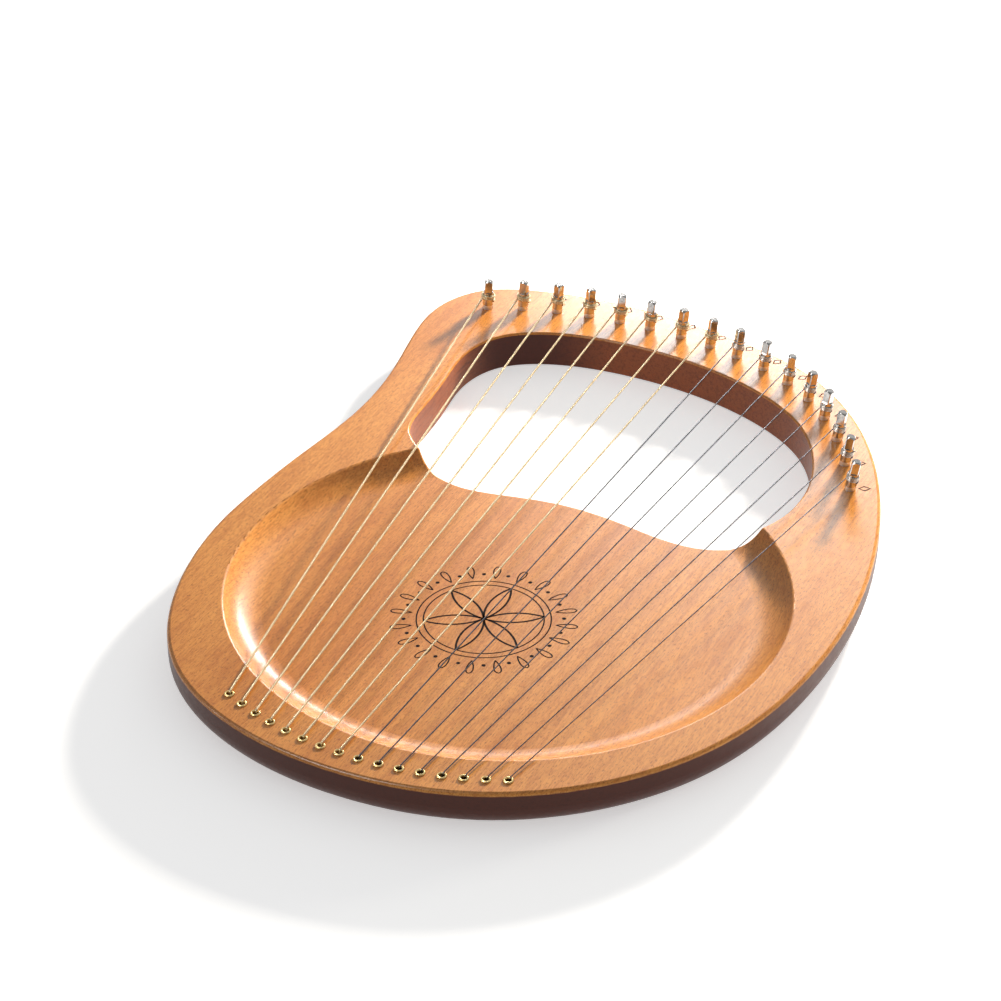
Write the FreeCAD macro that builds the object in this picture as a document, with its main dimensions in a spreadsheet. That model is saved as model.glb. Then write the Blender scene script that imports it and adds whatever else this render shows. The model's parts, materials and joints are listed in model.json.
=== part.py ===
import FreeCAD, Part
import os
from math import acos, asin, atan2, cos, degrees, pi, radians, sin, sqrt
import Sketcher

# Sixteen-string hand lyre, laid flat on its back.
#
# Frame: millimetres, +Z out of the face, +Y from the tail towards the yoke, +X towards the
# short treble strings. The origin is at the centre of the bounding box, on the back plane z = 0.

STRINGS = 16
WOUND = 8

# Driving dimensions in millimetres and degrees. Each becomes one cell of the sheet.
SIZES = {
    "body_width": 283.0,
    "body_length": 396.0,
    "body_depth": 18.0,
    "face_round": 1.6,
    "back_round": 10.0,
    "opening_round": 1.0,
    "dish_x": 2.5,
    "dish_y": -53.5,
    "dish_radius": 122.0,
    "dish_depth": 7.0,
    "cove_radius": 22.0,
    "lip_radius": 2.0,
    "plate_radius": 113.0,
    "plate_chord": 62.0,
    "plate_corner": 12.0,
    "plate_thickness": 3.0,
    "plate_gap": 0.1,
    "ledge": 5.0,
    "soundboard": 3.0,
    "sound_hole": 18.0,
    "brace_width": 7.0,
    "brace_height": 4.4,
    "upper_brace_y": -22.0,
    "lower_brace_y": -96.0,
    "brace_end_gap": 4.0,
    "brace_ease": 1.5,
    "glue_gap": 0.05,
    "pin_radius": 2.5,
    "pin_above": 15.5,
    "pin_below": 14.0,
    "pin_gap": 0.03,
    "pin_drill": 15.0,
    "pin_flats": 3.9,
    "head_length": 6.4,
    "pin_dome": 0.9,
    "pin_hole": 0.62,
    "hole_height": 7.8,
    "wrap_height": 4.8,
    "wrap_angle": 200.0,
    "wrap_gap": 0.05,
    "coil_clear": 0.1,
    "lean_first": 3.0,
    "lean_step": 0.4,
    "wound_gauge": 1.0,
    "plain_gauge": 0.62,
    "gauge_step": 0.02,
    "coil_spacing": 1.06,
    "coil_lift": 1.15,
    "string_gap": 0.02,
    "tail_length": 1.4,
    "knee_swell": 1.12,
    "tail_draw": 0.94,
    "arc_y": -40.6,
    "arc_radius": 147.0,
    "arc_step": 3.39,
    "lip_ring": 1.7,
    "lip_wire": 0.5,
    "lip_rise": 0.12,
    "barrel_bore": 1.25,
    "barrel_length": 5.0,
    "barrel_gap": 0.05,
    "string_bore": 1.35,
    "ball_radius": 1.9,
    "ball_length": 3.0,
    "ball_bore": 0.6,
    "ball_pocket": 3.0,
    "ball_ledge": 6.5,
    "bore_overlap": 1.0,
}

# The outside edge of the face, anticlockwise, starting on the bass flank.
OUTLINE = [
    (-135, -52), (-124, -117), (-95, -165), (-50, -191), (0, -198), (52, -188),
    (98, -157), (128, -112), (141, -55), (141, -5), (129, 56), (106, 112),
    (76, 153), (40, 179), (-5, 192), (-55, 198), (-100, 193), (-131, 178),
    (-141.3, 155), (-139, 123), (-131, 85), (-128, 45), (-132, 0),
]

# The hand opening behind the strings, anticlockwise, starting at its lower bass corner.
OPENING = [
    (-95, 40), (-80, 27), (-60, 19.5), (-38, 22), (-12, 26.5), (20, 24.5), (48, 20.5),
    (68, 25), (82, 42), (87, 68), (80, 100), (62, 128), (36, 146), (0, 158),
    (-48, 161), (-78, 155), (-100, 140), (-107, 118), (-104, 90), (-101, 62),
]

# Where each tuning pin enters the face, from the longest bass string to the shortest treble one.
PIN_FEET = [
    (-118.5, 164), (-102.5, 171), (-86, 176), (-70, 179), (-54, 180.5), (-38, 181),
    (-21, 180.5), (-4.5, 178), (11, 174.5), (27, 169.5), (42.5, 162), (57, 152),
    (70, 139.5), (82.5, 124), (93.5, 105.5), (103.5, 86.5),
]

# How many separate solids a sub-part holds, where it isn't one.
SOLIDS = {"string_eyelets": STRINGS, "string_ball_ends": STRINGS}

S = SIZES
Vector = FreeCAD.Vector
Placement = FreeCAD.Placement
Rotation = FreeCAD.Rotation
UP = Vector(0, 0, 1)
OVERCUT = 2.0          # how far a cutting shape runs past the skin it opens

doc = FreeCAD.newDocument("lyre")
sub_parts = []


def make_sheet():
    sheet = doc.addObject("Spreadsheet::Sheet", "sizes")
    for row, (alias, value) in enumerate(SIZES.items(), start=1):
        sheet.set(f"A{row}", alias.replace("_", " "))
        sheet.set(f"B{row}", str(value))
        sheet.setAlias(f"B{row}", alias)
    doc.recompute()


def bind(item, **formulas):
    """Tie properties of an object to cells of the sheet."""
    for prop, formula in formulas.items():
        item.setExpression(prop, formula)


def keep(item, label):
    """Name a finished sub-part."""
    item.Label = label
    sub_parts.append(item)
    return item


# ---------------------------------------------------------------- sketch helpers

def sketch_on(body, name, role="XY_Plane", offset=(0, 0, 0)):
    plane = next(item for item in body.Origin.OriginFeatures if item.Role == role)
    sketch = body.newObject("Sketcher::SketchObject", name)
    sketch.AttachmentSupport = [(plane, "")]
    sketch.MapMode = "FlatFace"
    sketch.AttachmentOffset = Placement(Vector(*offset), Rotation())
    return sketch


def hold(sketch, kind, geometry, point, formula, value):
    """Dimension one point of a sketch from its origin, driven by the sheet."""
    index = sketch.addConstraint(Sketcher.Constraint(kind, -1, 1, geometry, point, value))
    sketch.setExpression(f"Constraints[{index}]", formula)


def size_round(sketch, geometry, formula, value):
    """Dimension the radius of an arc or circle, driven by the sheet."""
    index = sketch.addConstraint(Sketcher.Constraint("Radius", geometry, value))
    sketch.setExpression(f"Constraints[{index}]", formula)


def spline_loop(sketch, points):
    """Draw a smooth closed curve through points, its poles scaled by the body's size."""
    curve = Part.BSplineCurve()
    curve.interpolate(Points=[Vector(x, y, 0) for x, y in points], PeriodicFlag=True)
    poles = curve.getPoles()
    spline = sketch.addGeometry(curve)
    sketch.exposeInternalGeometry(spline)
    for number, pole in enumerate(poles):
        handle = spline + 1 + number
        across = pole.x / S["body_width"]
        along = pole.y / S["body_length"]
        hold(sketch, "DistanceX", handle, 3, f"sizes.body_width * {across:.6f}", pole.x)
        hold(sketch, "DistanceY", handle, 3, f"sizes.body_length * {along:.6f}", pole.y)


def chain(sketch, pieces):
    """Add curves end to end, each running smoothly into the next, and close the loop."""
    numbers = [sketch.addGeometry(piece) for piece in pieces]
    for here, after in zip(numbers, numbers[1:] + numbers[:1]):
        sketch.addConstraint(Sketcher.Constraint("Tangent", here, 2, after, 1))
    return numbers


def line(start, end):
    return Part.LineSegment(Vector(*start, 0), Vector(*end, 0))


def arc(centre, radius, start, end):
    """An anticlockwise arc between two angles in degrees."""
    circle = Part.Circle(Vector(*centre, 0), UP, radius)
    return Part.ArcOfCircle(circle, radians(start), radians(end))


def chamber_loop(sketch, inset_name, inset):
    """A circle cut off by a chord towards the opening, with rounded corners.

    The sketch's origin is the centre of the dish.
    """
    radius = S["plate_radius"] - inset
    chord = S["plate_chord"] - inset
    corner = S["plate_corner"] - inset
    reach = radius - corner
    corner_y = chord - corner
    corner_x = sqrt(reach ** 2 - corner_y ** 2)
    turn = degrees(atan2(corner_y, corner_x))
    pieces = [
        line((corner_x, chord), (-corner_x, chord)),
        arc((-corner_x, corner_y), corner, 90, 180 - turn),
        arc((0, 0), radius, 180 - turn, 360 + turn),
        arc((corner_x, corner_y), corner, turn, 90),
    ]
    top, left, rim, right = chain(sketch, pieces)
    sketch.addConstraint(Sketcher.Constraint("Horizontal", top))
    sketch.addConstraint(Sketcher.Constraint("Coincident", rim, 3, -1, 1))
    sketch.addConstraint(Sketcher.Constraint("Equal", left, right))
    size_round(sketch, rim, f"sizes.plate_radius - {inset_name}", radius)
    size_round(sketch, left, f"sizes.plate_corner - {inset_name}", corner)
    hold(sketch, "DistanceY", top, 1, f"sizes.plate_chord - {inset_name}", chord)


def cut_volume(body, label):
    """Stop if the newest feature of a body took nothing away."""
    doc.recompute()
    feature = body.Tip
    before = feature.BaseFeature.Shape.Volume
    if feature.Shape.Volume >= before - 1e-3:
        raise RuntimeError(f"{label} cuts nothing")


def pocket(body, sketch, name, formula):
    """Cut a sketch on a plane upwards by a depth from the sheet."""
    feature = body.newObject("PartDesign::Pocket", name)
    feature.Profile = sketch
    feature.Reversed = True
    bind(feature, Length=formula)
    cut_volume(body, name)
    return feature


# ---------------------------------------------------------------- where things are

def eyelet_centre(number):
    """Centre of a string hole on the face, along an arc that follows the tail."""
    angle = radians(-90 + S["arc_step"] * (number - (STRINGS - 1) / 2))
    x = S["arc_radius"] * cos(angle)
    y = S["arc_y"] + S["arc_radius"] * sin(angle)
    return Vector(x, y, S["body_depth"])


def gauge(number):
    """Diameter of a string: eight wound bass strings, then eight plain ones."""
    if number < WOUND:
        return S["wound_gauge"] - S["gauge_step"] * number
    return S["plain_gauge"] - S["gauge_step"] * (number - WOUND)


def gauge_formula(number):
    if number < WOUND:
        return f"(sizes.wound_gauge - sizes.gauge_step * {number})"
    return f"(sizes.plain_gauge - sizes.gauge_step * {number - WOUND})"


def pin_axis(number):
    """Unit vector up a pin: the row splays outwards, more on the treble side."""
    lean = radians(S["lean_first"] + S["lean_step"] * number)
    return Vector(sin(lean), 0, cos(lean))


def frame(origin, x_way, z_way):
    """A placement whose local X and Z point along two given directions."""
    z_way = Vector(z_way).normalize()
    x_way = x_way - z_way * x_way.dot(z_way)
    x_way.normalize()
    return Placement(origin, Rotation(x_way, z_way.cross(x_way), z_way, "ZXY"))


class StringPath:
    """Everything that places one string, its coil and the turn of its pin."""

    def __init__(self, number):
        self.gauge = gauge(number)
        self.axis = pin_axis(number)
        self.foot = Vector(*PIN_FEET[number], S["body_depth"])
        self.hole = eyelet_centre(number)
        self.centre = self.foot + self.axis * S["wrap_height"]
        self.wrap_radius = S["pin_radius"] + S["wrap_gap"] + self.gauge / 2
        self.across = Vector(1, 0, 0) - self.axis * self.axis.x
        self.across.normalize()
        self.along = self.axis.cross(self.across)
        self.find_touch()
        self.find_bend()
        self.find_coil()

    def find_touch(self):
        """The string meets the bass side of the pin along a tangent."""
        away = self.hole - self.centre
        x = away.dot(self.across)
        y = away.dot(self.along)
        self.touch_angle = atan2(y, x) - acos(self.wrap_radius / sqrt(x * x + y * y))
        self.touch_way = self.across * cos(self.touch_angle) + self.along * sin(self.touch_angle)
        self.touch = self.centre + self.touch_way * self.wrap_radius

    def find_bend(self):
        """The string turns down over the eyelet's lip."""
        flat = Vector(self.touch.x - self.hole.x, self.touch.y - self.hole.y, 0)
        self.heading = flat.normalize()
        self.bend_radius = S["lip_wire"] + self.gauge / 2 + S["string_gap"]
        rise = Vector(0, 0, S["lip_rise"])
        self.bend_centre = self.hole + self.heading * S["lip_ring"] + rise
        reach = self.touch - self.bend_centre
        climb = atan2(reach.z, reach.dot(self.heading))
        self.slope = climb - asin(self.bend_radius / reach.Length)
        lift = UP * cos(self.slope) - self.heading * sin(self.slope)
        self.start = self.bend_centre + lift * self.bend_radius
        self.pull = (self.touch - self.start).normalize()
        self.drop = self.bend_centre - self.heading * self.bend_radius

    def find_coil(self):
        """The coil climbs from the end of the wrap to the pin's cross hole."""
        self.pitch = self.gauge * S["coil_spacing"]
        self.coil_base = S["wrap_height"] + S["coil_clear"] + S["coil_lift"] * self.gauge
        self.coil_rise = S["hole_height"] - self.coil_base
        turns = self.coil_rise / self.pitch
        self.coil_start = 360 * turns
        turned = degrees(self.touch_angle) - S["wrap_angle"] - 360 * turns
        spin = Rotation(UP, turned)
        upright = frame(self.foot, self.across, self.axis)
        self.pin_place = Placement(self.foot, upright.Rotation * spin)


# ---------------------------------------------------------------- the wooden body

def add_blank(body):
    outline = sketch_on(body, "outline")
    spline_loop(outline, OUTLINE)
    pad = body.newObject("PartDesign::Pad", "board")
    pad.Profile = outline
    bind(pad, Length="sizes.body_depth")
    doc.recompute()


def add_dish(body):
    """A round dish turned into the face: flat floor, hollow cove and a small rolled lip."""
    floor = S["body_depth"] - S["dish_depth"]
    curve_sum = S["cove_radius"] + S["lip_radius"]
    swing = degrees(acos(1 - S["dish_depth"] / curve_sum))
    cove_x = S["dish_radius"] - curve_sum * sin(radians(swing))
    cove_centre = (cove_x, floor + S["cove_radius"])
    lip_centre = (S["dish_radius"], S["body_depth"] - S["lip_radius"])
    above = S["body_depth"] + OVERCUT
    # The cutter's section, anticlockwise from the axis.
    sketch = sketch_on(body, "dish_section", "XZ_Plane", (S["dish_x"], 0, -S["dish_y"]))
    lip = arc(lip_centre, S["lip_radius"], 90, 90 + swing)
    base, cove, lip_edge, rim, top, spine = (sketch.addGeometry(piece) for piece in (
        line((0, floor), (cove_x, floor)),
        arc(cove_centre, S["cove_radius"], 270, 270 + swing),
        lip,
        line((S["dish_radius"], S["body_depth"]), (S["dish_radius"], above)),
        line((S["dish_radius"], above), (0, above)),
        line((0, above), (0, floor)),
    ))
    joins = (
        ("Tangent", base, 2, cove, 1), ("Tangent", cove, 2, lip_edge, 2),
        ("Coincident", lip_edge, 1, rim, 1), ("Coincident", rim, 2, top, 1),
        ("Coincident", top, 2, spine, 1), ("Coincident", spine, 2, base, 1),
    )
    for join in joins:
        sketch.addConstraint(Sketcher.Constraint(*join))
    for edge in (base, top):
        sketch.addConstraint(Sketcher.Constraint("Horizontal", edge))
    for edge in (rim, spine):
        sketch.addConstraint(Sketcher.Constraint("Vertical", edge))
    size_round(sketch, cove, "sizes.cove_radius", S["cove_radius"])
    size_round(sketch, lip_edge, "sizes.lip_radius", S["lip_radius"])
    sketch.addConstraint(Sketcher.Constraint("PointOnObject", spine, 1, -2))
    hold(sketch, "DistanceX", rim, 1, "sizes.dish_radius", S["dish_radius"])
    hold(sketch, "DistanceX", lip_edge, 3, "sizes.dish_radius", S["dish_radius"])
    hold(sketch, "DistanceY", rim, 1, "sizes.body_depth", S["body_depth"])
    hold(sketch, "DistanceY", base, 1, "sizes.body_depth - sizes.dish_depth", floor)
    hold(sketch, "DistanceY", top, 1, f"sizes.body_depth + {OVERCUT}", above)
    groove = body.newObject("PartDesign::Groove", "dish")
    groove.Profile = sketch
    groove.ReferenceAxis = (sketch, ["V_Axis"])
    groove.Angle = 360
    cut_volume(body, "dish")


def add_opening(body):
    sketch = sketch_on(body, "opening_edge")
    spline_loop(sketch, OPENING)
    pocket(body, sketch, "opening", f"sizes.body_depth + {OVERCUT}")


def add_chamber(body):
    """A sound chamber routed from the back, and a wider ledge that takes the back plate."""
    middle = (S["dish_x"], S["dish_y"], 0)
    ledge = sketch_on(body, "plate_seat_edge", offset=middle)
    chamber_loop(ledge, "0", 0)
    pocket(body, ledge, "plate_seat", "sizes.plate_thickness")
    chamber = sketch_on(body, "chamber_edge", offset=middle)
    chamber_loop(chamber, "sizes.ledge", S["ledge"])
    depth = "sizes.body_depth - sizes.dish_depth - sizes.soundboard"
    pocket(body, chamber, "chamber", depth)


def round_edges(body, name, formula, wanted):
    """Round the edges of the newest feature that a test picks out."""
    base = body.Tip
    edges = [f"Edge{i}" for i, edge in enumerate(base.Shape.Edges, start=1) if wanted(edge)]
    if not edges:
        raise RuntimeError(f"{name} finds no edge")
    fillet = body.newObject("PartDesign::Fillet", name)
    fillet.Base = (base, edges)
    bind(fillet, Radius=formula)
    doc.recompute()
    if "Invalid" in fillet.State or fillet.Shape.isNull():
        raise RuntimeError(f"{name} fails")


def spans(edge, length):
    """True for an edge whose box is about as long as the given length."""
    return abs(edge.BoundBox.YLength - length) < 2.0


def on_opening(edge):
    """True for an edge round the opening, at the face, the dish or the back, but not up its wall."""
    upright = edge.BoundBox.XLength < 0.1 and edge.BoundBox.YLength < 0.1
    middle = edge.valueAt((edge.FirstParameter + edge.LastParameter) / 2)
    flat = Part.BSplineCurve()
    flat.interpolate(Points=[Vector(x, y, 0) for x, y in OPENING], PeriodicFlag=True)
    gap = flat.toShape().distToShape(Part.Vertex(middle.x, middle.y, 0))[0]
    return gap < 0.05 and not upright


def make_drills():
    """Cutters for the pin holes, the eyelet seats and the string holes."""
    drills = []
    for number in range(STRINGS):
        path = StringPath(number)
        name = f"pin_drill_{number + 1:02d}"
        drill = doc.addObject("Part::Cylinder", name)
        length = f"sizes.pin_drill + {OVERCUT}"
        bind(drill, Radius="sizes.pin_radius + sizes.pin_gap", Height=length)
        start = path.foot - path.axis * S["pin_drill"]
        drill.Placement = Placement(start, path.pin_place.Rotation)
        drills.append(drill)
        seat = S["body_depth"] + S["lip_rise"] - S["lip_wire"] - S["barrel_gap"]
        barrel_foot = S["body_depth"] - S["barrel_length"] - S["barrel_gap"]
        bore_foot = S["ball_ledge"] - S["bore_overlap"]
        steps = (
            ("lip_seat", "sizes.lip_ring + sizes.lip_wire + sizes.barrel_gap",
             seat, S["lip_wire"] + OVERCUT),
            ("barrel_bore", "sizes.lip_ring + sizes.barrel_gap",
             barrel_foot, S["barrel_length"] + OVERCUT),
            ("string_bore", "sizes.string_bore", bore_foot, S["body_depth"]),
            ("ball_pocket", "sizes.ball_pocket", -OVERCUT, S["ball_ledge"] + OVERCUT),
        )
        for kind, radius, bottom, height in steps:
            step = doc.addObject("Part::Cylinder", f"{kind}_{number + 1:02d}")
            bind(step, Radius=radius)
            step.Height = height
            step.Placement = Placement(Vector(path.hole.x, path.hole.y, bottom), Rotation())
            drills.append(step)
    tool = doc.addObject("Part::Compound", "drills")
    tool.Links = drills
    return tool


def make_body_shell():
    """One carved board: bowl, two arms and the curved yoke that carries the pins."""
    body = doc.addObject("PartDesign::Body", "carved_board")
    add_blank(body)
    back_z = 0.0
    face_z = S["body_depth"]
    round_edges(body, "back_round", "sizes.back_round",
                lambda e: spans(e, S["body_length"]) and abs(e.BoundBox.ZMax - back_z) < 0.01)
    round_edges(body, "face_round", "sizes.face_round",
                lambda e: spans(e, S["body_length"]) and abs(e.BoundBox.ZMin - face_z) < 0.01)
    add_dish(body)
    add_opening(body)
    round_edges(body, "opening_round", "sizes.opening_round", on_opening)
    add_chamber(body)
    shell = doc.addObject("Part::Cut", "shell")
    shell.Base = body
    shell.Tool = make_drills()
    keep(shell, "body_shell")


# ---------------------------------------------------------------- back plate and braces

def make_back_plate():
    """A thin lid let into the back, with a round sound hole."""
    body = doc.addObject("PartDesign::Body", "lid")
    middle = (S["dish_x"], S["dish_y"], 0)
    edge = sketch_on(body, "lid_edge", offset=middle)
    chamber_loop(edge, "sizes.plate_gap", S["plate_gap"])
    pad = body.newObject("PartDesign::Pad", "lid_board")
    pad.Profile = edge
    bind(pad, Length="sizes.plate_thickness - 2 * sizes.plate_gap")
    doc.recompute()
    hole = sketch_on(body, "sound_hole_edge", offset=middle)
    circle = hole.addGeometry(Part.Circle(Vector(0, 0, 0), UP, S["sound_hole"]))
    hole.addConstraint(Sketcher.Constraint("Coincident", circle, 3, -1, 1))
    size_round(hole, circle, "sizes.sound_hole", S["sound_hole"])
    pocket(body, hole, "sound_hole", "sizes.plate_thickness")
    keep(body, "back_plate")


def make_brace(label, place_name):
    """A glued bar across the underside of the soundboard, shorter than the chamber."""
    y = S[place_name] - S["dish_y"]
    reach = S["plate_radius"] - S["ledge"] - S["brace_end_gap"]
    half = sqrt(reach ** 2 - (abs(y) + S["brace_width"] / 2) ** 2)
    bar = doc.addObject("Part::Box", label + "_bar")
    bar.Length = 2 * half
    bind(bar, Width="sizes.brace_width", Height="sizes.brace_height")
    top = S["body_depth"] - S["dish_depth"] - S["soundboard"] - S["glue_gap"]
    bottom = top - S["brace_height"]
    corner = Vector(S["dish_x"] - half, S[place_name] - S["brace_width"] / 2, bottom)
    bar.Placement = Placement(corner, Rotation())
    doc.recompute()
    lower = [
        i for i, edge in enumerate(bar.Shape.Edges, start=1)
        if edge.BoundBox.ZMax < bottom + 0.01 and edge.BoundBox.XLength > half
    ]
    eased = doc.addObject("Part::Fillet", label + "_eased")
    eased.Base = bar
    eased.Edges = [(i, S["brace_ease"], S["brace_ease"]) for i in lower]
    keep(eased, label)


# ---------------------------------------------------------------- tuning pins

def make_pin(number):
    """A steel pin: round shank, cross hole for the string and a head milled to four flats."""
    path = StringPath(number)
    name = f"tuning_pin_{number + 1:02d}"
    body = doc.addObject("PartDesign::Body", f"pin_body_{number + 1:02d}")
    radius = S["pin_radius"]
    bottom = -S["pin_below"]
    top = S["pin_above"]
    dome = S["pin_dome"]
    section = sketch_on(body, f"pin_section_{number + 1:02d}", "XZ_Plane")
    corners = [(0, bottom), (radius - dome, bottom), (radius, bottom + dome),
               (radius, top - dome), (radius - dome, top), (0, top)]
    edges = [section.addGeometry(line(a, b)) for a, b in zip(corners, corners[1:] + corners[:1])]
    for here, after in zip(edges, edges[1:] + edges[:1]):
        section.addConstraint(Sketcher.Constraint("Coincident", here, 2, after, 1))
    formulas = [("0", "-sizes.pin_below"), ("sizes.pin_radius - sizes.pin_dome", "-sizes.pin_below"),
                ("sizes.pin_radius", "sizes.pin_dome - sizes.pin_below"),
                ("sizes.pin_radius", "sizes.pin_above - sizes.pin_dome"),
                ("sizes.pin_radius - sizes.pin_dome", "sizes.pin_above"), ("0", "sizes.pin_above")]
    for edge, (x, y), (x_formula, y_formula) in zip(edges, corners, formulas):
        if x:
            hold(section, "DistanceX", edge, 1, x_formula, x)
        else:
            section.addConstraint(Sketcher.Constraint("PointOnObject", edge, 1, -2))
        hold(section, "DistanceY", edge, 1, y_formula, y)
    turned = body.newObject("PartDesign::Revolution", f"pin_turned_{number + 1:02d}")
    turned.Profile = section
    turned.ReferenceAxis = (section, ["V_Axis"])
    turned.Angle = 360
    doc.recompute()
    flats = sketch_on(body, f"pin_flats_{number + 1:02d}", offset=(0, 0, top - S["head_length"]))
    ring = flats.addGeometry(Part.Circle(Vector(0, 0, 0), UP, radius + OVERCUT))
    size_round(flats, ring, f"sizes.pin_radius + {OVERCUT}", radius + OVERCUT)
    half = S["pin_flats"] / 2
    square = [(-half, -half), (half, -half), (half, half), (-half, half)]
    sides = [flats.addGeometry(line(a, b)) for a, b in zip(square, square[1:] + square[:1])]
    for here, after in zip(sides, sides[1:] + sides[:1]):
        flats.addConstraint(Sketcher.Constraint("Coincident", here, 2, after, 1))
    for side, (x, y) in zip(sides, square):
        hold(flats, "DistanceX", side, 1, f"sizes.pin_flats * {x / (2 * half)}", x)
        hold(flats, "DistanceY", side, 1, f"sizes.pin_flats * {y / (2 * half)}", y)
    pocket(body, flats, f"pin_head_{number + 1:02d}", f"sizes.head_length + {OVERCUT}")
    eye = sketch_on(body, f"pin_eye_{number + 1:02d}", "YZ_Plane", (0, 0, -radius - OVERCUT))
    hole = eye.addGeometry(Part.Circle(Vector(0, S["hole_height"], 0), UP, S["pin_hole"]))
    size_round(eye, hole, "sizes.pin_hole", S["pin_hole"])
    hold(eye, "DistanceY", hole, 3, "sizes.hole_height", S["hole_height"])
    pocket(body, eye, f"pin_cross_hole_{number + 1:02d}", f"2 * sizes.pin_radius + {2 * OVERCUT}")
    body.Placement = path.pin_place
    keep(body, name)


def make_winding(number):
    """The coil of string on a pin, with its cut end through the cross hole."""
    path = StringPath(number)
    tag = f"{number + 1:02d}"
    radius = gauge_formula(number) + " / 2"
    coil_radius = f"sizes.pin_radius + {radius} + sizes.string_gap"
    helix = doc.addObject("Part::Helix", f"coil_path_{tag}")
    bind(helix, Pitch=f"{gauge_formula(number)} * sizes.coil_spacing", Radius=coil_radius,
         Height="sizes.hole_height - sizes.wrap_height - sizes.coil_clear"
         f" - sizes.coil_lift * {gauge_formula(number)}")
    helix.LocalCoord = 1
    helix.SegmentLength = 0.5
    helix.Placement = Placement(Vector(0, 0, path.coil_base), Rotation(UP, path.coil_start))
    doc.recompute()
    reach = S["pin_radius"] + path.gauge / 2 + S["string_gap"]
    climb = atan2(path.pitch, 2 * pi * reach)
    wire = doc.addObject("Part::Circle", f"coil_section_{tag}")
    bind(wire, Radius=radius)
    start = radians(path.coil_start)
    outward = Vector(cos(start), sin(start), 0)
    travel = Vector(sin(start), -cos(start), 0) * cos(climb) + UP * sin(climb)
    wire.Placement = frame(outward * reach + UP * path.coil_base, outward, travel)
    coil = doc.addObject("Part::Sweep", f"coil_{tag}")
    coil.Sections = [wire]
    coil.Spine = (helix, [f"Edge{i + 1}" for i in range(len(helix.Shape.Edges))])
    coil.Solid = True
    coil.Frenet = True
    knee = doc.addObject("Part::Sphere", f"coil_knee_{tag}")
    bind(knee, Radius=f"{radius} * sizes.knee_swell")
    knee.Placement = Placement(Vector(reach, 0, S["hole_height"]), Rotation())
    tail = doc.addObject("Part::Cylinder", f"coil_tail_{tag}")
    bind(tail, Radius=f"{radius} * sizes.tail_draw",
         Height=f"{coil_radius} + sizes.pin_radius + sizes.tail_length")
    tail.Placement = frame(Vector(reach, 0, S["hole_height"]), UP, Vector(-1, 0, 0))
    cut_end = doc.addObject("Part::Fuse", f"coil_end_{tag}")
    cut_end.Base = knee
    cut_end.Tool = tail
    joined = doc.addObject("Part::Fuse", f"winding_{tag}")
    joined.Base = coil
    joined.Tool = cut_end
    joined.Placement = path.pin_place
    keep(joined, f"string_winding_{tag}")


# ---------------------------------------------------------------- strings and their fittings

def rod(name, radius, start, end):
    piece = doc.addObject("Part::Cylinder", name)
    bind(piece, Radius=radius)
    reach = end - start
    piece.Height = reach.Length
    side = Vector(1, 0, 0) if abs(reach.x) < 0.9 * reach.Length else Vector(0, 1, 0)
    piece.Placement = frame(start, side, reach)
    return piece


def bent_rod(name, radius, centre, bend_radius, start_way, axis, angle):
    piece = doc.addObject("Part::Torus", name)
    bind(piece, Radius2=radius)
    piece.Radius1 = bend_radius
    piece.Angle3 = angle
    piece.Placement = frame(centre, start_way, axis)
    return piece


def make_string(number):
    """A taut string: up its hole, over the eyelet's lip, along the face and round its pin."""
    path = StringPath(number)
    tag = f"{number + 1:02d}"
    radius = gauge_formula(number) + " / 2"
    bottom = Vector(path.drop.x, path.drop.y, S["ball_ledge"] - S["ball_length"])
    level = path.heading.cross(UP)
    wrap_axis = path.axis - path.pull * path.axis.dot(path.pull)
    wrap_way = wrap_axis.cross(path.pull).normalize()
    wrap_centre = path.touch - wrap_way * path.wrap_radius
    pieces = [
        rod(f"string_shank_{tag}", radius, bottom, path.drop),
        bent_rod(f"string_bend_{tag}", radius, path.bend_centre, path.bend_radius,
                 path.heading * -1, level * -1, 90 - degrees(path.slope)),
        rod(f"string_length_{tag}", radius, path.start, path.touch),
        bent_rod(f"string_wrap_{tag}", radius, wrap_centre, path.wrap_radius,
                 wrap_way, wrap_axis * -1, S["wrap_angle"]),
    ]
    joined = doc.addObject("Part::MultiFuse", f"whole_string_{tag}")
    joined.Shapes = pieces
    keep(joined, f"string_{tag}")


def make_eyelet(number):
    """A brass eyelet: a rolled lip on the face and a thin barrel down the hole."""
    centre = eyelet_centre(number)
    tag = f"{number + 1:02d}"
    lip = doc.addObject("Part::Torus", f"eyelet_lip_{tag}")
    bind(lip, Radius1="sizes.lip_ring", Radius2="sizes.lip_wire")
    lip.Placement = Placement(centre + UP * S["lip_rise"], Rotation())
    barrel = doc.addObject("Part::Cylinder", f"eyelet_barrel_{tag}")
    bind(barrel, Radius="sizes.lip_ring", Height="sizes.barrel_length")
    barrel.Placement = Placement(centre - UP * S["barrel_length"], Rotation())
    bore = doc.addObject("Part::Cylinder", f"eyelet_bore_{tag}")
    bind(bore, Radius="sizes.barrel_bore", Height=f"sizes.barrel_length + {OVERCUT}")
    bore.Placement = Placement(centre - UP * (S["barrel_length"] + OVERCUT / 2), Rotation())
    tube = doc.addObject("Part::Cut", f"eyelet_tube_{tag}")
    tube.Base = barrel
    tube.Tool = bore
    eyelet = doc.addObject("Part::Fuse", f"eyelet_{tag}")
    eyelet.Base = lip
    eyelet.Tool = tube
    return eyelet


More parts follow.
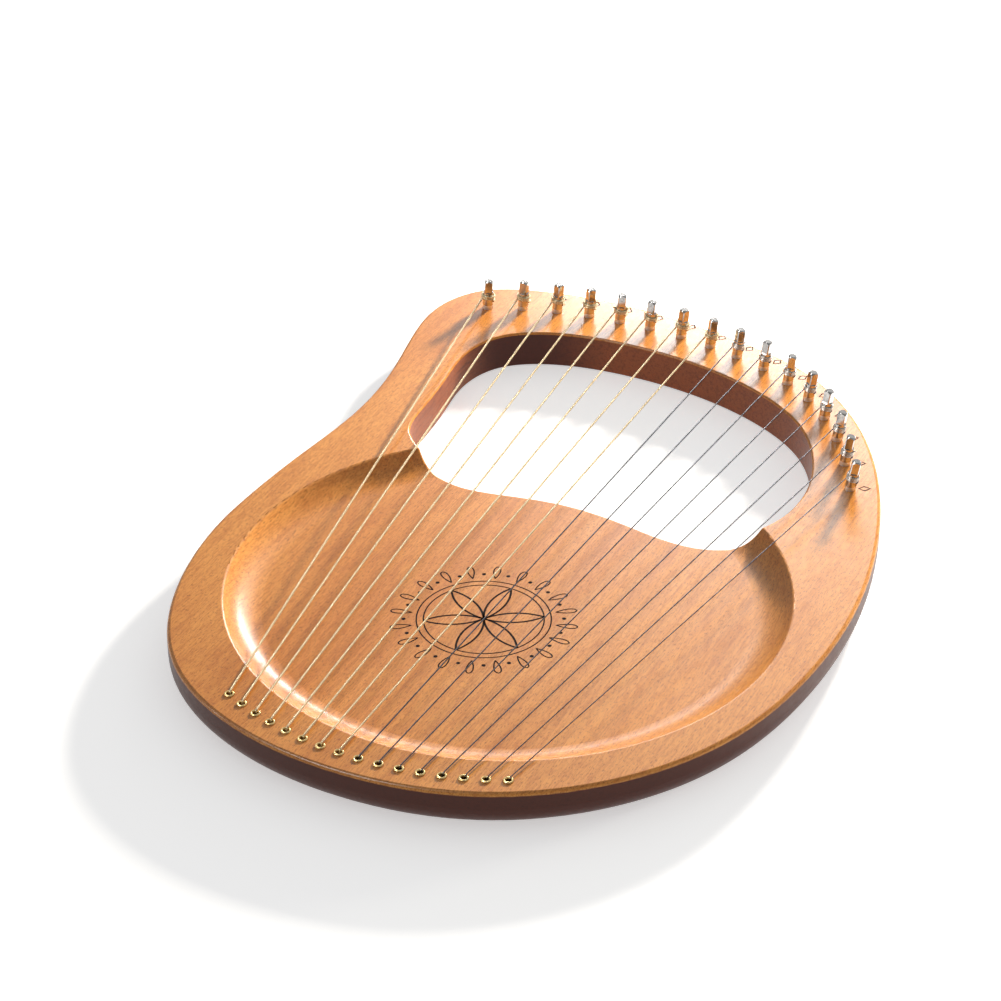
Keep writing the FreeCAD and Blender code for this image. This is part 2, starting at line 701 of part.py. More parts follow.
def make_ball_end(number):
    """A small brass collar that stops the string in the back of its hole."""
    path = StringPath(number)
    tag = f"{number + 1:02d}"
    foot = S["ball_ledge"] - S["ball_length"] - S["glue_gap"]
    base = Vector(path.drop.x, path.drop.y, foot)
    collar = doc.addObject("Part::Cylinder", f"ball_collar_{tag}")
    bind(collar, Radius="sizes.ball_radius", Height="sizes.ball_length")
    collar.Placement = Placement(base, Rotation())
    bore = doc.addObject("Part::Cylinder", f"ball_bore_{tag}")
    bind(bore, Radius="sizes.ball_bore", Height=f"sizes.ball_length + {2 * OVERCUT}")
    bore.Placement = Placement(base - UP * OVERCUT, Rotation())
    ball = doc.addObject("Part::Cut", f"ball_end_{tag}")
    ball.Base = collar
    ball.Tool = bore
    return ball


def make_group(label, maker):
    """Sixteen alike pieces in one sub-part."""
    group = doc.addObject("Part::Compound", label + "_group")
    group.Links = [maker(number) for number in range(STRINGS)]
    keep(group, label)


# ---------------------------------------------------------------- build and write

def write_parts():
    doc.recompute()
    for item in doc.Objects:
        if "Invalid" in item.State or "Error" in item.State:
            raise RuntimeError(f"{item.Label} is not up to date")
    for item in sub_parts:
        if item.Shape.isNull() or not item.Shape.isValid():
            raise RuntimeError(f"{item.Label} has no valid shape")
        if len(item.Shape.Solids) != SOLIDS.get(item.Label, 1):
            raise RuntimeError(f"{item.Label} is in {len(item.Shape.Solids)} solids")
    os.makedirs("parts", exist_ok=True)
    for item in sub_parts:
        item.Shape.exportStep(f"parts/{item.Label}.step")
        print(f"{item.Label}: {len(item.Shape.Solids)} solid(s), {item.Shape.Volume:.1f} mm3")


make_sheet()
make_body_shell()
make_back_plate()
make_brace("upper_brace", "upper_brace_y")
make_brace("lower_brace", "lower_brace_y")
for number in range(STRINGS):
    make_pin(number)
    make_winding(number)
    make_string(number)
make_group("string_eyelets", make_eyelet)
make_group("string_ball_ends", make_ball_end)
write_parts()
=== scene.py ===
import json
import math

import bmesh
import bpy
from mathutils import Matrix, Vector


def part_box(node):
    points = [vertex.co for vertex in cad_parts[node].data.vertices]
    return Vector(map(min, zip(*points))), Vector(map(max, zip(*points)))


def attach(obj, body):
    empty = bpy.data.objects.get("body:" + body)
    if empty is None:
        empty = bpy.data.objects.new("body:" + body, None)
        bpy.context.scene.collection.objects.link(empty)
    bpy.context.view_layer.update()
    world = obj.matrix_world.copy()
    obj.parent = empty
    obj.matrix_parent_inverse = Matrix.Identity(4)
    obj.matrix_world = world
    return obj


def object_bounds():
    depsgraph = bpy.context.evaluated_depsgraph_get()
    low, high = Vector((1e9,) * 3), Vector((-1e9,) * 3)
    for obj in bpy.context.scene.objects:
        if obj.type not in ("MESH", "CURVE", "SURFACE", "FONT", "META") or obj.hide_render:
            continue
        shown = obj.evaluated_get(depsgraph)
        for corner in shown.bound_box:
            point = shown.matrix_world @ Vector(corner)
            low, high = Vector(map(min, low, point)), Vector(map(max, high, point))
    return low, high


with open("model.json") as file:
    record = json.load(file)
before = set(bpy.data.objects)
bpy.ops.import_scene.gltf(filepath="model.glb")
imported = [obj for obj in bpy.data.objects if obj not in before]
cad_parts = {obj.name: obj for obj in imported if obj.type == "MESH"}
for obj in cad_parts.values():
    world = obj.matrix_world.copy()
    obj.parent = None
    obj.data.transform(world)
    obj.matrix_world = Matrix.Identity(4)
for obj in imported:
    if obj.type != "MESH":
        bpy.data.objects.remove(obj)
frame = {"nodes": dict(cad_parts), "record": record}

CAD_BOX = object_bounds()
MM = 0.001
WHITE = (1.0, 1.0, 1.0)
BODY = "lyre_body"
STRINGS = 16
WOUND_STRINGS = 8        # strings 01 to 08, on the bass side

# The face is the top of the body. The dish floor, which carries the rosette, lies below it.
FACE_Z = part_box("body_shell")[1].z
DISH_DEPTH = 7 * MM
DISH_FLOOR_Z = FACE_Z - DISH_DEPTH


# ---------------------------------------------------------------- shader helpers

# Sockets of a Mix node set to RGBA, which shares its names between data types.
MIX_FACTOR, MIX_A, MIX_B, MIX_RESULT = 0, 6, 7, 2


class Shader:
    """One material's node tree, with short calls that add a node and feed its inputs."""

    def __init__(self, name):
        self.material = bpy.data.materials.new(name)
        self.material.use_nodes = True
        self.tree = self.material.node_tree
        self.tree.nodes.clear()
        output = self.tree.nodes.new("ShaderNodeOutputMaterial")
        self.surface = self.tree.nodes.new("ShaderNodeBsdfPrincipled")
        self.tree.links.new(self.surface.outputs[0], output.inputs["Surface"])

    def feed(self, socket, value):
        """Links a socket to socket, or sets it to a number, vector or RGB colour."""
        if isinstance(value, bpy.types.NodeSocket):
            self.tree.links.new(value, socket)
        elif isinstance(value, tuple) and len(value) == 3 and socket.type == "RGBA":
            socket.default_value = (*value, 1.0)
        else:
            socket.default_value = value

    def add(self, kind, settings=None, **inputs):
        node = self.tree.nodes.new("ShaderNode" + kind)
        for key, value in (settings or {}).items():
            setattr(node, key, value)
        for key, value in inputs.items():
            self.feed(node.inputs[key.replace("_", " ")], value)
        return node

    def position(self, scale=(1.0, 1.0, 1.0)):
        """The point in the object's own frame, in metres, with each axis multiplied."""
        coordinates = self.add("TexCoord").outputs["Object"]
        return self.add("Mapping", Vector=coordinates, Scale=scale).outputs[0]

    def noise(self, scale, detail=2.0, roughness=0.5, stretch=(1.0, 1.0, 1.0), distortion=0.0):
        return self.add(
            "TexNoise",
            Vector=self.position(stretch),
            Scale=scale,
            Detail=detail,
            Roughness=roughness,
            Distortion=distortion,
        ).outputs[0]

    def ramp(self, value, low, high, to_low=0.0, to_high=1.0):
        """value from low..high becomes to_low..to_high, with soft ends, and stays within them."""
        return self.add(
            "MapRange",
            {"interpolation_type": "SMOOTHSTEP"},
            Value=value,
            From_Min=low,
            From_Max=high,
            To_Min=to_low,
            To_Max=to_high,
        ).outputs[0]

    def maths(self, operation, a, b=0.0):
        node = self.add("Math", {"operation": operation})
        self.feed(node.inputs[0], a)
        self.feed(node.inputs[1], b)
        return node.outputs[0]

    def mix(self, factor, a, b):
        """Colour a where factor is 0, and b where it is 1."""
        node = self.add("Mix", {"data_type": "RGBA", "blend_type": "MIX"})
        self.feed(node.inputs[MIX_FACTOR], factor)
        self.feed(node.inputs[MIX_A], a)
        self.feed(node.inputs[MIX_B], b)
        return node.outputs[MIX_RESULT]

    def darken(self, colour, pattern, band, dark):
        """colour goes towards dark as pattern rises through band: (start, full, most)."""
        start, full, most = band
        return self.mix(self.ramp(pattern, start, full, 0.0, most), colour, dark)

    def bump(self, height, distance, strength):
        node = self.add("Bump", Height=height, Distance=distance, Strength=strength)
        self.feed(self.surface.inputs["Normal"], node.outputs[0])

    def set(self, **values):
        for key, value in values.items():
            self.feed(self.surface.inputs[key.replace("_", " ")], value)


# ---------------------------------------------------------------- wood

WOOD_LIGHT = (0.79, 0.335, 0.074)
WOOD_MID = (0.68, 0.260, 0.050)
WOOD_DARK = (0.44, 0.122, 0.019)
WOOD_PORE = (0.22, 0.050, 0.012)
# The red-brown of the walls and back is partly real staining and partly painted shade for walls
# turned from the lamp; the outer wall is painted darker than the wall round the opening.
INNER_WALL_STAIN_AND_SHADE = (0.310, 0.082, 0.022)
OUTER_WALL_STAIN_AND_SHADE = (0.080, 0.016, 0.006)
WALL_STAIN_AND_SHADE_DARK = (0.055, 0.012, 0.005)
SPRUCE_LIGHT = (0.62, 0.43, 0.24)
SPRUCE_DARK = (0.46, 0.28, 0.13)

# Noise scales, per metre, and how each pattern is drawn out along the grain, which runs in Y.
FIGURE_SCALE = 22.0
STREAK_SCALE = 170.0
MOTTLE_SCALE = 420.0
LINE_SCALE = 760.0
FIBRE_SCALE = 1500.0
PORE_SCALE = 2000.0
SPRUCE_STREAK_SCALE = 200.0
SPRUCE_FIBRE_SCALE = 1200.0
FIGURE_STRETCH = (1.0, 0.25, 1.0)
GRAIN_STRETCH = (1.0, 0.09, 1.0)
LINE_STRETCH = (1.0, 0.03, 1.0)
PORE_STRETCH = (1.0, 0.26, 1.0)
MOTTLE_STRETCH = (1.0, 0.7, 1.0)

# Noise values between which a pattern fades in, and for a band how dark it gets at most.
FIGURE_FADE = (0.34, 0.66)
STREAK_BAND = (0.48, 0.72, 0.34)
LINE_BAND = (0.50, 0.70, 0.30)
MOTTLE_BAND = (0.48, 0.70, 0.28)
FIBRE_BAND = (0.42, 0.66, 0.46)
PORE_FADE = (0.55, 0.72)
PORE_DARKENING = 0.52
STAIN_LINE_BAND = (0.45, 0.70, 0.35)
STAIN_PORE_DARKENING = 0.5
SPRUCE_STREAK_FADE = (0.35, 0.68)
SPRUCE_FIBRE_BAND = (0.5, 0.75, 0.5)
SHEEN_FADE = (0.3, 0.7)

WOOD_ROUGHNESS = (0.37, 0.45)
SPRUCE_ROUGHNESS = (0.5, 0.65)
FACE_COAT = 0.34
WALL_COAT = 0.10
PORE_RELIEF = 0.03 * MM
FIBRE_SHARE = 0.4        # of the pores' relief
SPRUCE_RELIEF = 0.05 * MM
RELIEF_STRENGTH = 0.4

# The surface normal's Z: 1 on the face, 0 on an upright wall, -1 on the back.
FACE_FROM = 0.36
WALL_BELOW = 0.12
BACK_TO_WALL = (-0.75, -0.25)

# An ellipse that holds the hand opening and its wall, as centre and half sizes.
OPENING_CENTRE = (-8 * MM, 85 * MM)
OPENING_REACH = (100 * MM, 75 * MM)
OPENING_FADE = (1.15, 1.40)        # in squared shares of the half sizes


def near_opening(s):
    """1 round the hand opening, 0 at the lyre's outer wall."""
    place = s.add("SeparateXYZ", Vector=s.position())
    squares = []
    for axis in range(2):
        offset = s.maths("SUBTRACT", place.outputs[axis], OPENING_CENTRE[axis])
        share = s.maths("DIVIDE", offset, OPENING_REACH[axis])
        squares.append(s.maths("MULTIPLY", share, share))
    return s.ramp(s.maths("ADD", *squares), *OPENING_FADE, 1.0, 0.0)


def make_wood(name, stained_and_shaded):
    """Satin-lacquered hardwood, grain along Y; for the body the walls and back are red-brown,
    partly the wood's own colour and partly painted shade, darkest on the outer wall.
    """
    s = Shader(name)
    figure = s.noise(FIGURE_SCALE, detail=3.0, stretch=FIGURE_STRETCH, distortion=0.4)
    streak = s.noise(
        STREAK_SCALE, detail=3.0, roughness=0.55, stretch=GRAIN_STRETCH, distortion=0.3
    )
    line = s.noise(LINE_SCALE, stretch=LINE_STRETCH)
    fibre = s.noise(FIBRE_SCALE, roughness=0.6, stretch=GRAIN_STRETCH)
    mottle = s.noise(MOTTLE_SCALE, detail=4.0, roughness=0.65, stretch=MOTTLE_STRETCH)
    pores = s.ramp(s.noise(PORE_SCALE, detail=1.0, stretch=PORE_STRETCH), *PORE_FADE)

    colour = s.mix(s.ramp(figure, *FIGURE_FADE), WOOD_MID, WOOD_LIGHT)
    colour = s.darken(colour, streak, STREAK_BAND, WOOD_DARK)
    colour = s.darken(colour, line, LINE_BAND, WOOD_DARK)
    colour = s.darken(colour, mottle, MOTTLE_BAND, WOOD_DARK)
    colour = s.darken(colour, fibre, FIBRE_BAND, WOOD_DARK)
    colour = s.mix(s.maths("MULTIPLY", pores, PORE_DARKENING), colour, WOOD_PORE)
    coat = FACE_COAT
    if stained_and_shaded:
        # Walls and back get a red-brown that is partly real staining and partly painted shade,
        # darkest on the outer wall.
        normal = s.add("NewGeometry").outputs["Normal"]
        upward = s.add("SeparateXYZ", Vector=normal).outputs[2]
        off_face = s.ramp(upward, WALL_BELOW, FACE_FROM, 1.0, 0.0)
        off_back = s.ramp(upward, *BACK_TO_WALL)
        inner_wall = s.maths("MULTIPLY", near_opening(s), off_back)
        wall_stain_and_shade = s.mix(inner_wall, OUTER_WALL_STAIN_AND_SHADE, INNER_WALL_STAIN_AND_SHADE)
        wall_stain_and_shade = s.darken(wall_stain_and_shade, line, STAIN_LINE_BAND, WALL_STAIN_AND_SHADE_DARK)
        wall_stain_and_shade = s.mix(s.maths("MULTIPLY", pores, STAIN_PORE_DARKENING), wall_stain_and_shade, WALL_STAIN_AND_SHADE_DARK)
        colour = s.mix(off_face, colour, wall_stain_and_shade)
        coat = s.ramp(upward, WALL_BELOW, FACE_FROM, WALL_COAT, FACE_COAT)
    s.set(Base_Color=colour, Roughness=s.ramp(mottle, *SHEEN_FADE, *WOOD_ROUGHNESS))
    s.set(Specular_IOR_Level=0.24, Coat_Weight=coat, Coat_Roughness=0.20, Coat_IOR=1.5)
    relief = s.maths("SUBTRACT", s.maths("MULTIPLY", fibre, FIBRE_SHARE), pores)
    s.bump(relief, PORE_RELIEF, RELIEF_STRENGTH)
    return s.material


def make_spruce(name):
    """Bare inner wood, for the braces."""
    s = Shader(name)
    streak = s.noise(
        SPRUCE_STREAK_SCALE, detail=3.0, roughness=0.6, stretch=GRAIN_STRETCH, distortion=0.4
    )
    fibre = s.noise(SPRUCE_FIBRE_SCALE, roughness=0.6, stretch=GRAIN_STRETCH)
    colour = s.mix(s.ramp(streak, *SPRUCE_STREAK_FADE), SPRUCE_LIGHT, SPRUCE_DARK)
    colour = s.darken(colour, fibre, SPRUCE_FIBRE_BAND, SPRUCE_DARK)
    s.set(Base_Color=colour, Roughness=s.ramp(fibre, *SHEEN_FADE, *SPRUCE_ROUGHNESS))
    s.bump(fibre, SPRUCE_RELIEF, RELIEF_STRENGTH)
    return s.material


# ---------------------------------------------------------------- metals and strings

BRASS = (0.94, 0.72, 0.34)
BRASS_DULL = (0.80, 0.55, 0.22)
COIL_STEEL = (0.72, 0.68, 0.62)
COIL_STEEL_DULL = (0.46, 0.43, 0.40)
NICKEL = (0.66, 0.645, 0.625)
NICKEL_DULL = (0.50, 0.485, 0.465)
NICKEL_THREAD = (0.90, 0.88, 0.85)
WIRE_DARK = (0.09, 0.092, 0.105)
WIRE_LIGHT = (0.22, 0.222, 0.24)
# The groove colour is painted shade for the grooves between the winding's turns.
BRONZE_GROOVE_SHADE = (0.48, 0.33, 0.16)
BRONZE_RIDGE = (0.92, 0.76, 0.48)

CLOUD_SCALE = 900.0
CLOUD_FADE = (0.42, 0.7)
POLISH_FADE = (0.3, 0.75)
DULLING = 2.2        # the dullest spots' roughness, as a multiple of the polished metal's
BRUSH_SCALE = 4000.0
BRUSH_STRETCH = (1.0, 1.0, 0.15)
BRUSH_RELIEF = 0.006 * MM

NICKEL_ROUGHNESS = (0.08, 0.18)
THREAD_ROUGHNESS = 0.28        # more, where the pin is threaded
THREAD_TOP = FACE_Z + 1.9 * MM
THREAD_FADE = 0.5 * MM
THREAD_PITCH = 0.5 * MM
THREAD_RELIEF = 0.05 * MM

WINDING_PITCH = 0.34 * MM
WINDING_FADE = (-1.0, 0.4)
WINDING_RELIEF = 0.04 * MM
WIRE_SCALE = 2500.0
WIRE_STRETCH = (1.0, 0.05, 1.0)
WIRE_ROUGHNESS = (0.22, 0.36)
WIRE_RELIEF = 0.01 * MM


def waves(s, distance, pitch):
    """A sine wave, -1 to 1, that repeats every pitch along distance."""
    return s.maths("SINE", s.maths("MULTIPLY", distance, 2.0 * math.pi / pitch))


def make_metal(name, colour, dull, roughness):
    """Plated metal whose colour and polish vary slightly over the piece."""
    s = Shader(name)
    cloud = s.noise(CLOUD_SCALE, detail=3.0, roughness=0.6)
    brushed = s.noise(BRUSH_SCALE, roughness=0.6, stretch=BRUSH_STRETCH)
    s.set(Base_Color=s.mix(s.ramp(cloud, *CLOUD_FADE), colour, dull), Metallic=1.0)
    s.set(Roughness=s.ramp(cloud, *POLISH_FADE, roughness, roughness * DULLING))
    s.bump(brushed, BRUSH_RELIEF, 0.35)
    return s.material


def make_pin_nickel(name):
    """Bright nickel, with a paler threaded foot where the pin goes into the wood."""
    s = Shader(name)
    cloud = s.noise(CLOUD_SCALE, detail=3.0, roughness=0.6)
    height = s.add("SeparateXYZ", Vector=s.position()).outputs[2]
    foot = s.ramp(height, THREAD_TOP, THREAD_TOP + THREAD_FADE, 1.0, 0.0)
    thread = waves(s, height, THREAD_PITCH)
    polished = s.mix(s.ramp(cloud, *CLOUD_FADE), NICKEL, NICKEL_DULL)
    s.set(Base_Color=s.mix(foot, polished, NICKEL_THREAD), Metallic=1.0)
    polish = s.ramp(cloud, *POLISH_FADE, *NICKEL_ROUGHNESS)
    s.set(Roughness=s.maths("ADD", polish, s.maths("MULTIPLY", foot, THREAD_ROUGHNESS)))
    s.bump(s.maths("MULTIPLY", thread, foot), THREAD_RELIEF, 0.6)
    return s.material


def make_wound_string(name):
    """Fine wire wound round a core: ridges across the string, with painted shade in the grooves
    between them.
    """
    s = Shader(name)
    along = s.add("SeparateXYZ", Vector=s.position()).outputs[1]
    ridge = waves(s, along, WINDING_PITCH)
    # Painted shade: the colour darkens in the grooves between the turns.
    colour = s.mix(s.ramp(ridge, *WINDING_FADE), BRONZE_GROOVE_SHADE, BRONZE_RIDGE)
    s.set(Base_Color=colour, Metallic=0.45, Roughness=0.3)
    s.bump(ridge, WINDING_RELIEF, 0.6)
    return s.material


def make_plain_string(name):
    """Grey drawn wire, with faint marks along it."""
    s = Shader(name)
    drawn = s.noise(WIRE_SCALE, stretch=WIRE_STRETCH)
    s.set(Base_Color=s.mix(drawn, WIRE_DARK, WIRE_LIGHT), Metallic=1.0)
    s.set(Roughness=s.ramp(drawn, *SHEEN_FADE, *WIRE_ROUGHNESS))
    s.bump(drawn, WIRE_RELIEF, 0.3)
    return s.material


def dress_frame():
    """Gives each CAD node its procedural material."""
    spruce = make_spruce("wood_brace")
    nickel = make_pin_nickel("pin_nickel")
    brass = make_metal("brass", BRASS, BRASS_DULL, roughness=0.22)
    wound = make_wound_string("wound_string_metal")
    plain = make_plain_string("plain_string_metal")
    plain_coil = make_metal("plain_coil_metal", COIL_STEEL, COIL_STEEL_DULL, roughness=0.20)
    looks = {
        "body_shell": make_wood("wood_body", stained_and_shaded=True),
        "back_plate": make_wood("wood_back", stained_and_shaded=False),
        "upper_brace": spruce,
        "lower_brace": spruce,
        "string_eyelets": brass,
        "string_ball_ends": brass,
    }
    for number in range(1, STRINGS + 1):
        is_wound = number <= WOUND_STRINGS
        looks[f"string_{number:02d}"] = wound if is_wound else plain
        looks[f"string_winding_{number:02d}"] = wound if is_wound else plain_coil
        looks[f"tuning_pin_{number:02d}"] = nickel
    for node, material in looks.items():
        for slot in frame["nodes"][node].material_slots:
            slot.material = material


# ---------------------------------------------------------------- burnt decoration

CHAR_DARK = (0.006, 0.004, 0.003)
CHAR_LIGHT = (0.030, 0.016, 0.009)
CHAR_SCALE = 1800.0
CHAR_RELIEF = 0.03 * MM

LINE_WIDTH = 0.60 * MM
BOLD_WIDTH = 0.95 * MM
LINE_RISE = 0.03 * MM
LINE_SINK = 0.20 * MM

ROSETTE_CENTRE = Vector((-0.6 * MM, -70.0 * MM))
ROSETTE_RADIUS = 28.6 * MM
ROSETTE_BAND = 3.0 * MM
ROSETTE_PETALS = 6
ROSETTE_LEAVES = 20
LEAF_START = 31.0 * MM
LEAF_END = 40.0 * MM
LEAF_HALF_WIDTH = 1.9 * MM
DOT_RADIUS = 0.9 * MM
DOT_REACH = 34.0 * MM

RING_STEPS = 120
PETAL_STEPS = 40
LEAF_STEPS = 24
DOT_STEPS = 14

# The marks stand furthest from their pins at the first pin and nearest at the last.
MARK_WIDTH = 0.8 * MM
MARK_HALF_LENGTH = 2.6 * MM
MARK_HALF_WIDTH = 1.8 * MM
MARK_FAR = 13.8 * MM
MARK_NEAR = 6.6 * MM


def make_burnt_line(name):
    """The brown-black of a line burnt into the wood."""
    s = Shader(name)
    char = s.noise(CHAR_SCALE, detail=3.0, roughness=0.6)
    s.set(Base_Color=s.mix(char, CHAR_DARK, CHAR_LIGHT), Roughness=0.75)
    s.set(Specular_IOR_Level=0.12)
    s.bump(char, CHAR_RELIEF, 0.5)
    return s.material


def around(centre, angle, reach):
    """The point at that reach and angle, in degrees, from centre."""
    turn = math.radians(angle)
    return centre + reach * Vector((math.cos(turn), math.sin(turn)))


def arc(centre, radius, start, end, steps):
    """Points along a circle from start to end, in degrees."""
    return [
        around(centre, start + (end - start) * step / steps, radius) for step in range(steps + 1)
    ]


def circle(centre, radius, steps):
    return arc(centre, radius, 0.0, 360.0, steps)[:-1]


def add_line(mesh, path, surface_z, closed=False, width=LINE_WIDTH):
    """A solid strip along path, a hair above the wood at surface_z and sunk a little into it."""
    rings = []
    for index, point in enumerate(path):
        before = path[index - 1] if closed or index > 0 else point
        after = path[(index + 1) % len(path)] if closed or index < len(path) - 1 else point
        tangent = (after - before).normalized()
        side = Vector((-tangent.y, tangent.x)) * (width / 2.0)
        section = (
            (side, -LINE_SINK),
            (side, LINE_RISE),
            (-side, LINE_RISE),
            (-side, -LINE_SINK),
        )
        ring = []
        for offset, z in section:
            spot = point + offset
            ring.append(mesh.verts.new((spot.x, spot.y, surface_z + z)))
        rings.append(ring)
    pairs = list(zip(rings, rings[1:]))
    if closed:
        pairs.append((rings[-1], rings[0]))
    else:
        mesh.faces.new(rings[0])
        mesh.faces.new(rings[-1][::-1])
    for here, there in pairs:
        for corner in range(4):
            beside = (corner + 1) % 4
            mesh.faces.new((here[corner], there[corner], there[beside], here[beside]))


def add_dot(mesh, centre, radius, surface_z):
    """A small filled disc with the same rise and sink as the lines."""
    rim = circle(centre, radius, DOT_STEPS)
    top = [mesh.verts.new((p.x, p.y, surface_z + LINE_RISE)) for p in rim]
    bottom = [mesh.verts.new((p.x, p.y, surface_z - LINE_SINK)) for p in rim]
    mesh.faces.new(top)
    mesh.faces.new(bottom[::-1])
    for index in range(DOT_STEPS):
        beside = (index + 1) % DOT_STEPS
        mesh.faces.new((top[index], bottom[index], bottom[beside], top[beside]))


def leaf(outward):
    """A closed loop along outward, narrow near the ring and fuller towards its far end."""
    across = Vector((-outward.y, outward.x))
    middle = (LEAF_START + LEAF_END) / 2.0
    half_length = (LEAF_END - LEAF_START) / 2.0
    path = []
    for step in range(LEAF_STEPS):
        phase = 2.0 * math.pi * step / LEAF_STEPS
        reach = middle - half_length * math.cos(phase)
        swell = LEAF_HALF_WIDTH * math.sin(phase) * abs(math.sin(phase / 2.0))
        path.append(ROSETTE_CENTRE + outward * reach + across * swell)
    return path


def finish_piece(name, mesh, material):
    """Turns a bmesh into a piece that rides on the lyre's body."""
    bmesh.ops.recalc_face_normals(mesh, faces=mesh.faces)
    data = bpy.data.meshes.new(name)
    mesh.to_mesh(data)
    mesh.free()
    data.materials.append(material)
    piece = bpy.data.objects.new(name, data)
    bpy.context.scene.collection.objects.link(piece)
    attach(piece, BODY)


def make_rosette(material):
    """A compass-drawn rosette: six petals in a double ring, with leaves and dots round it."""
    mesh = bmesh.new()
    inner = ROSETTE_RADIUS - ROSETTE_BAND
    for radius in (ROSETTE_RADIUS, inner):
        add_line(mesh, circle(ROSETTE_CENTRE, radius, RING_STEPS), DISH_FLOOR_Z, closed=True)
    turn = 360.0 / ROSETTE_PETALS
    for petal in range(ROSETTE_PETALS):
        angle = 90.0 + petal * turn
        foot = around(ROSETTE_CENTRE, angle, inner)
        path = arc(foot, inner, angle + 180.0 - turn, angle + 180.0 + turn, PETAL_STEPS)
        add_line(mesh, path, DISH_FLOOR_Z, width=BOLD_WIDTH)
    pitch = 360.0 / ROSETTE_LEAVES
    for number in range(ROSETTE_LEAVES):
        angle = number * pitch
        outward = around(Vector((0.0, 0.0)), angle, 1.0)
        add_line(mesh, leaf(outward), DISH_FLOOR_Z, closed=True)
        between = around(ROSETTE_CENTRE, angle + pitch / 2.0, DOT_REACH)
        add_dot(mesh, between, DOT_RADIUS, DISH_FLOOR_Z)
    finish_piece("dish_rosette", mesh, material)


def make_pin_marks(material):
    """One small burnt diamond beside each tuning pin, on its rim side."""
    feet = [Vector(joint["pos_m"][:2]) for joint in frame["record"]["behaviour"]["joints"]]
    mesh = bmesh.new()
    for index, foot in enumerate(feet):
        before = feet[max(index - 1, 0)]
        after = feet[min(index + 1, STRINGS - 1)]
        along = (after - before).normalized()
        outward = Vector((-along.y, along.x))
        share = index / (STRINGS - 1)
        spot = foot + outward * (MARK_FAR + (MARK_NEAR - MARK_FAR) * share)
        corners = [
            spot + outward * MARK_HALF_LENGTH,
            spot - along * MARK_HALF_WIDTH,
            spot - outward * MARK_HALF_LENGTH,
            spot + along * MARK_HALF_WIDTH,
        ]
        add_line(mesh, corners, FACE_Z, closed=True, width=MARK_WIDTH)
    finish_piece("pin_marks", mesh, material)


# ---------------------------------------------------------------- stage

VIEW_FROM = Vector((0.4794, -1.0009, 0.7310))
VIEW_TO = Vector((-0.0317, 0.00695, 0.018))
LENS_MM = 107.9
SENSOR_MM = 36.0

FLOOR_HALF_SIZE = 8.0
FLOOR_CELLS = 8
FLOOR_GAP = 0.2 * MM
FLOOR_GREY = (0.86, 0.86, 0.86)
FLOOR_GLOW = 0.52

WARM = (1.0, 0.94, 0.84)
WORLD_FRONT = 0.10        # the strength that the fade starts from, in front of the tail
WORLD_BEHIND = 0.60


def make_camera():
    data = bpy.data.cameras.new("camera")
    data.lens = LENS_MM
    data.sensor_width = SENSOR_MM
    camera = bpy.data.objects.new("camera", data)
    camera.location = VIEW_FROM
    camera.rotation_mode = "QUATERNION"
    camera.rotation_quaternion = (VIEW_TO - VIEW_FROM).to_track_quat("-Z", "Y")
    bpy.context.scene.collection.objects.link(camera)
    bpy.context.scene.camera = camera


def make_floor():
    """A pale floor just under the lyre, which glows a little so that it stays near white."""
    mesh = bpy.data.meshes.new("floor")
    grid = bmesh.new()
    bmesh.ops.create_grid(
        grid, x_segments=FLOOR_CELLS, y_segments=FLOOR_CELLS, size=FLOOR_HALF_SIZE
    )
    grid.to_mesh(mesh)
    grid.free()
    floor = bpy.data.objects.new("floor", mesh)
    floor.location.z = CAD_BOX[0].z - FLOOR_GAP
    bpy.context.scene.collection.objects.link(floor)
    s = Shader("floor_white")
    s.set(Base_Color=FLOOR_GREY, Roughness=0.8, Specular_IOR_Level=0.1)
    s.set(Emission_Color=WHITE, Emission_Strength=FLOOR_GLOW)
    mesh.materials.append(s.material)


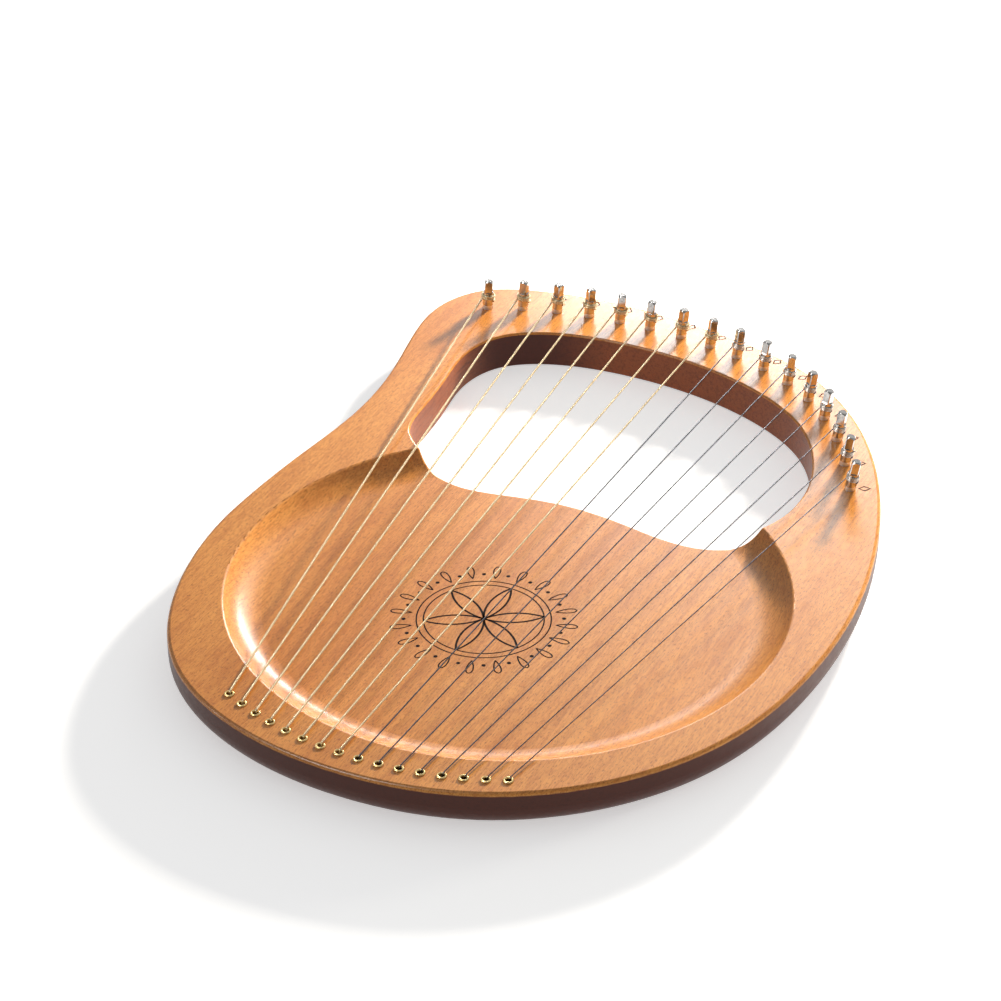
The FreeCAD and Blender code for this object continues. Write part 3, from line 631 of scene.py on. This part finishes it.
def make_world():
    """A pale room that is brighter behind the yoke than in front of the tail."""
    world = bpy.data.worlds.new("world")
    world.use_nodes = True
    tree = world.node_tree
    background = tree.nodes["Background"]
    background.inputs["Color"].default_value = (*WHITE, 1.0)
    direction = tree.nodes.new("ShaderNodeTexCoord")
    parts = tree.nodes.new("ShaderNodeSeparateXYZ")
    fade = tree.nodes.new("ShaderNodeMapRange")
    fade.inputs["From Min"].default_value = -1.0
    fade.inputs["To Min"].default_value = WORLD_FRONT
    fade.inputs["To Max"].default_value = WORLD_BEHIND
    tree.links.new(direction.outputs["Generated"], parts.inputs[0])
    tree.links.new(parts.outputs["Y"], fade.inputs["Value"])
    tree.links.new(fade.outputs[0], background.inputs["Strength"])
    bpy.context.scene.world = world


def make_area_light(name, azimuth, elevation, distance, size, power, colour=WHITE):
    """A rectangular light; azimuth 0 is behind the yoke (+Y) and 90 on the treble side (+X)."""
    a, e = math.radians(azimuth), math.radians(elevation)
    towards = Vector((math.sin(a) * math.cos(e), math.cos(a) * math.cos(e), math.sin(e)))
    data = bpy.data.lights.new(name, "AREA")
    data.shape = "RECTANGLE"
    data.size, data.size_y = size
    data.energy = power
    data.color = colour
    light = bpy.data.objects.new(name, data)
    light.location = Vector((0.0, 0.0, FACE_Z)) + towards * distance
    light.rotation_mode = "QUATERNION"
    light.rotation_quaternion = (-towards).to_track_quat("-Z", "Y")
    bpy.context.scene.collection.objects.link(light)
    return light


def make_light():
    """Low lamps that shape the dish and throw the pins' shadows, and cards seen only in gloss."""
    make_world()
    bpy.context.scene.view_settings.view_transform = "Standard"
    key = make_area_light(
        "key", azimuth=2.0, elevation=16.0, distance=1.15, size=(0.13, 0.08), power=37.0,
        colour=WARM,
    )
    side = make_area_light(
        "side", azimuth=40.0, elevation=10.0, distance=1.6, size=(0.26, 0.10), power=8.0,
        colour=WARM,
    )
    for lamp in (key, side):
        lamp.visible_glossy = False
    window = make_area_light(
        "window", azimuth=-17.0, elevation=20.0, distance=1.5, size=(0.42, 0.20), power=12.0,
    )
    edge = make_area_light(
        "edge_card", azimuth=-145.0, elevation=50.0, distance=1.2, size=(0.60, 0.40), power=9.0,
    )
    pins = make_area_light(
        "pin_card", azimuth=-118.0, elevation=20.0, distance=1.2, size=(0.16, 0.40), power=1.2,
    )
    for card in (window, edge, pins):
        card.visible_diffuse = False


def main():
    make_camera()
    make_floor()
    make_light()
    dress_frame()
    burnt = make_burnt_line("burnt_line")
    make_rosette(burnt)
    make_pin_marks(burnt)


main()
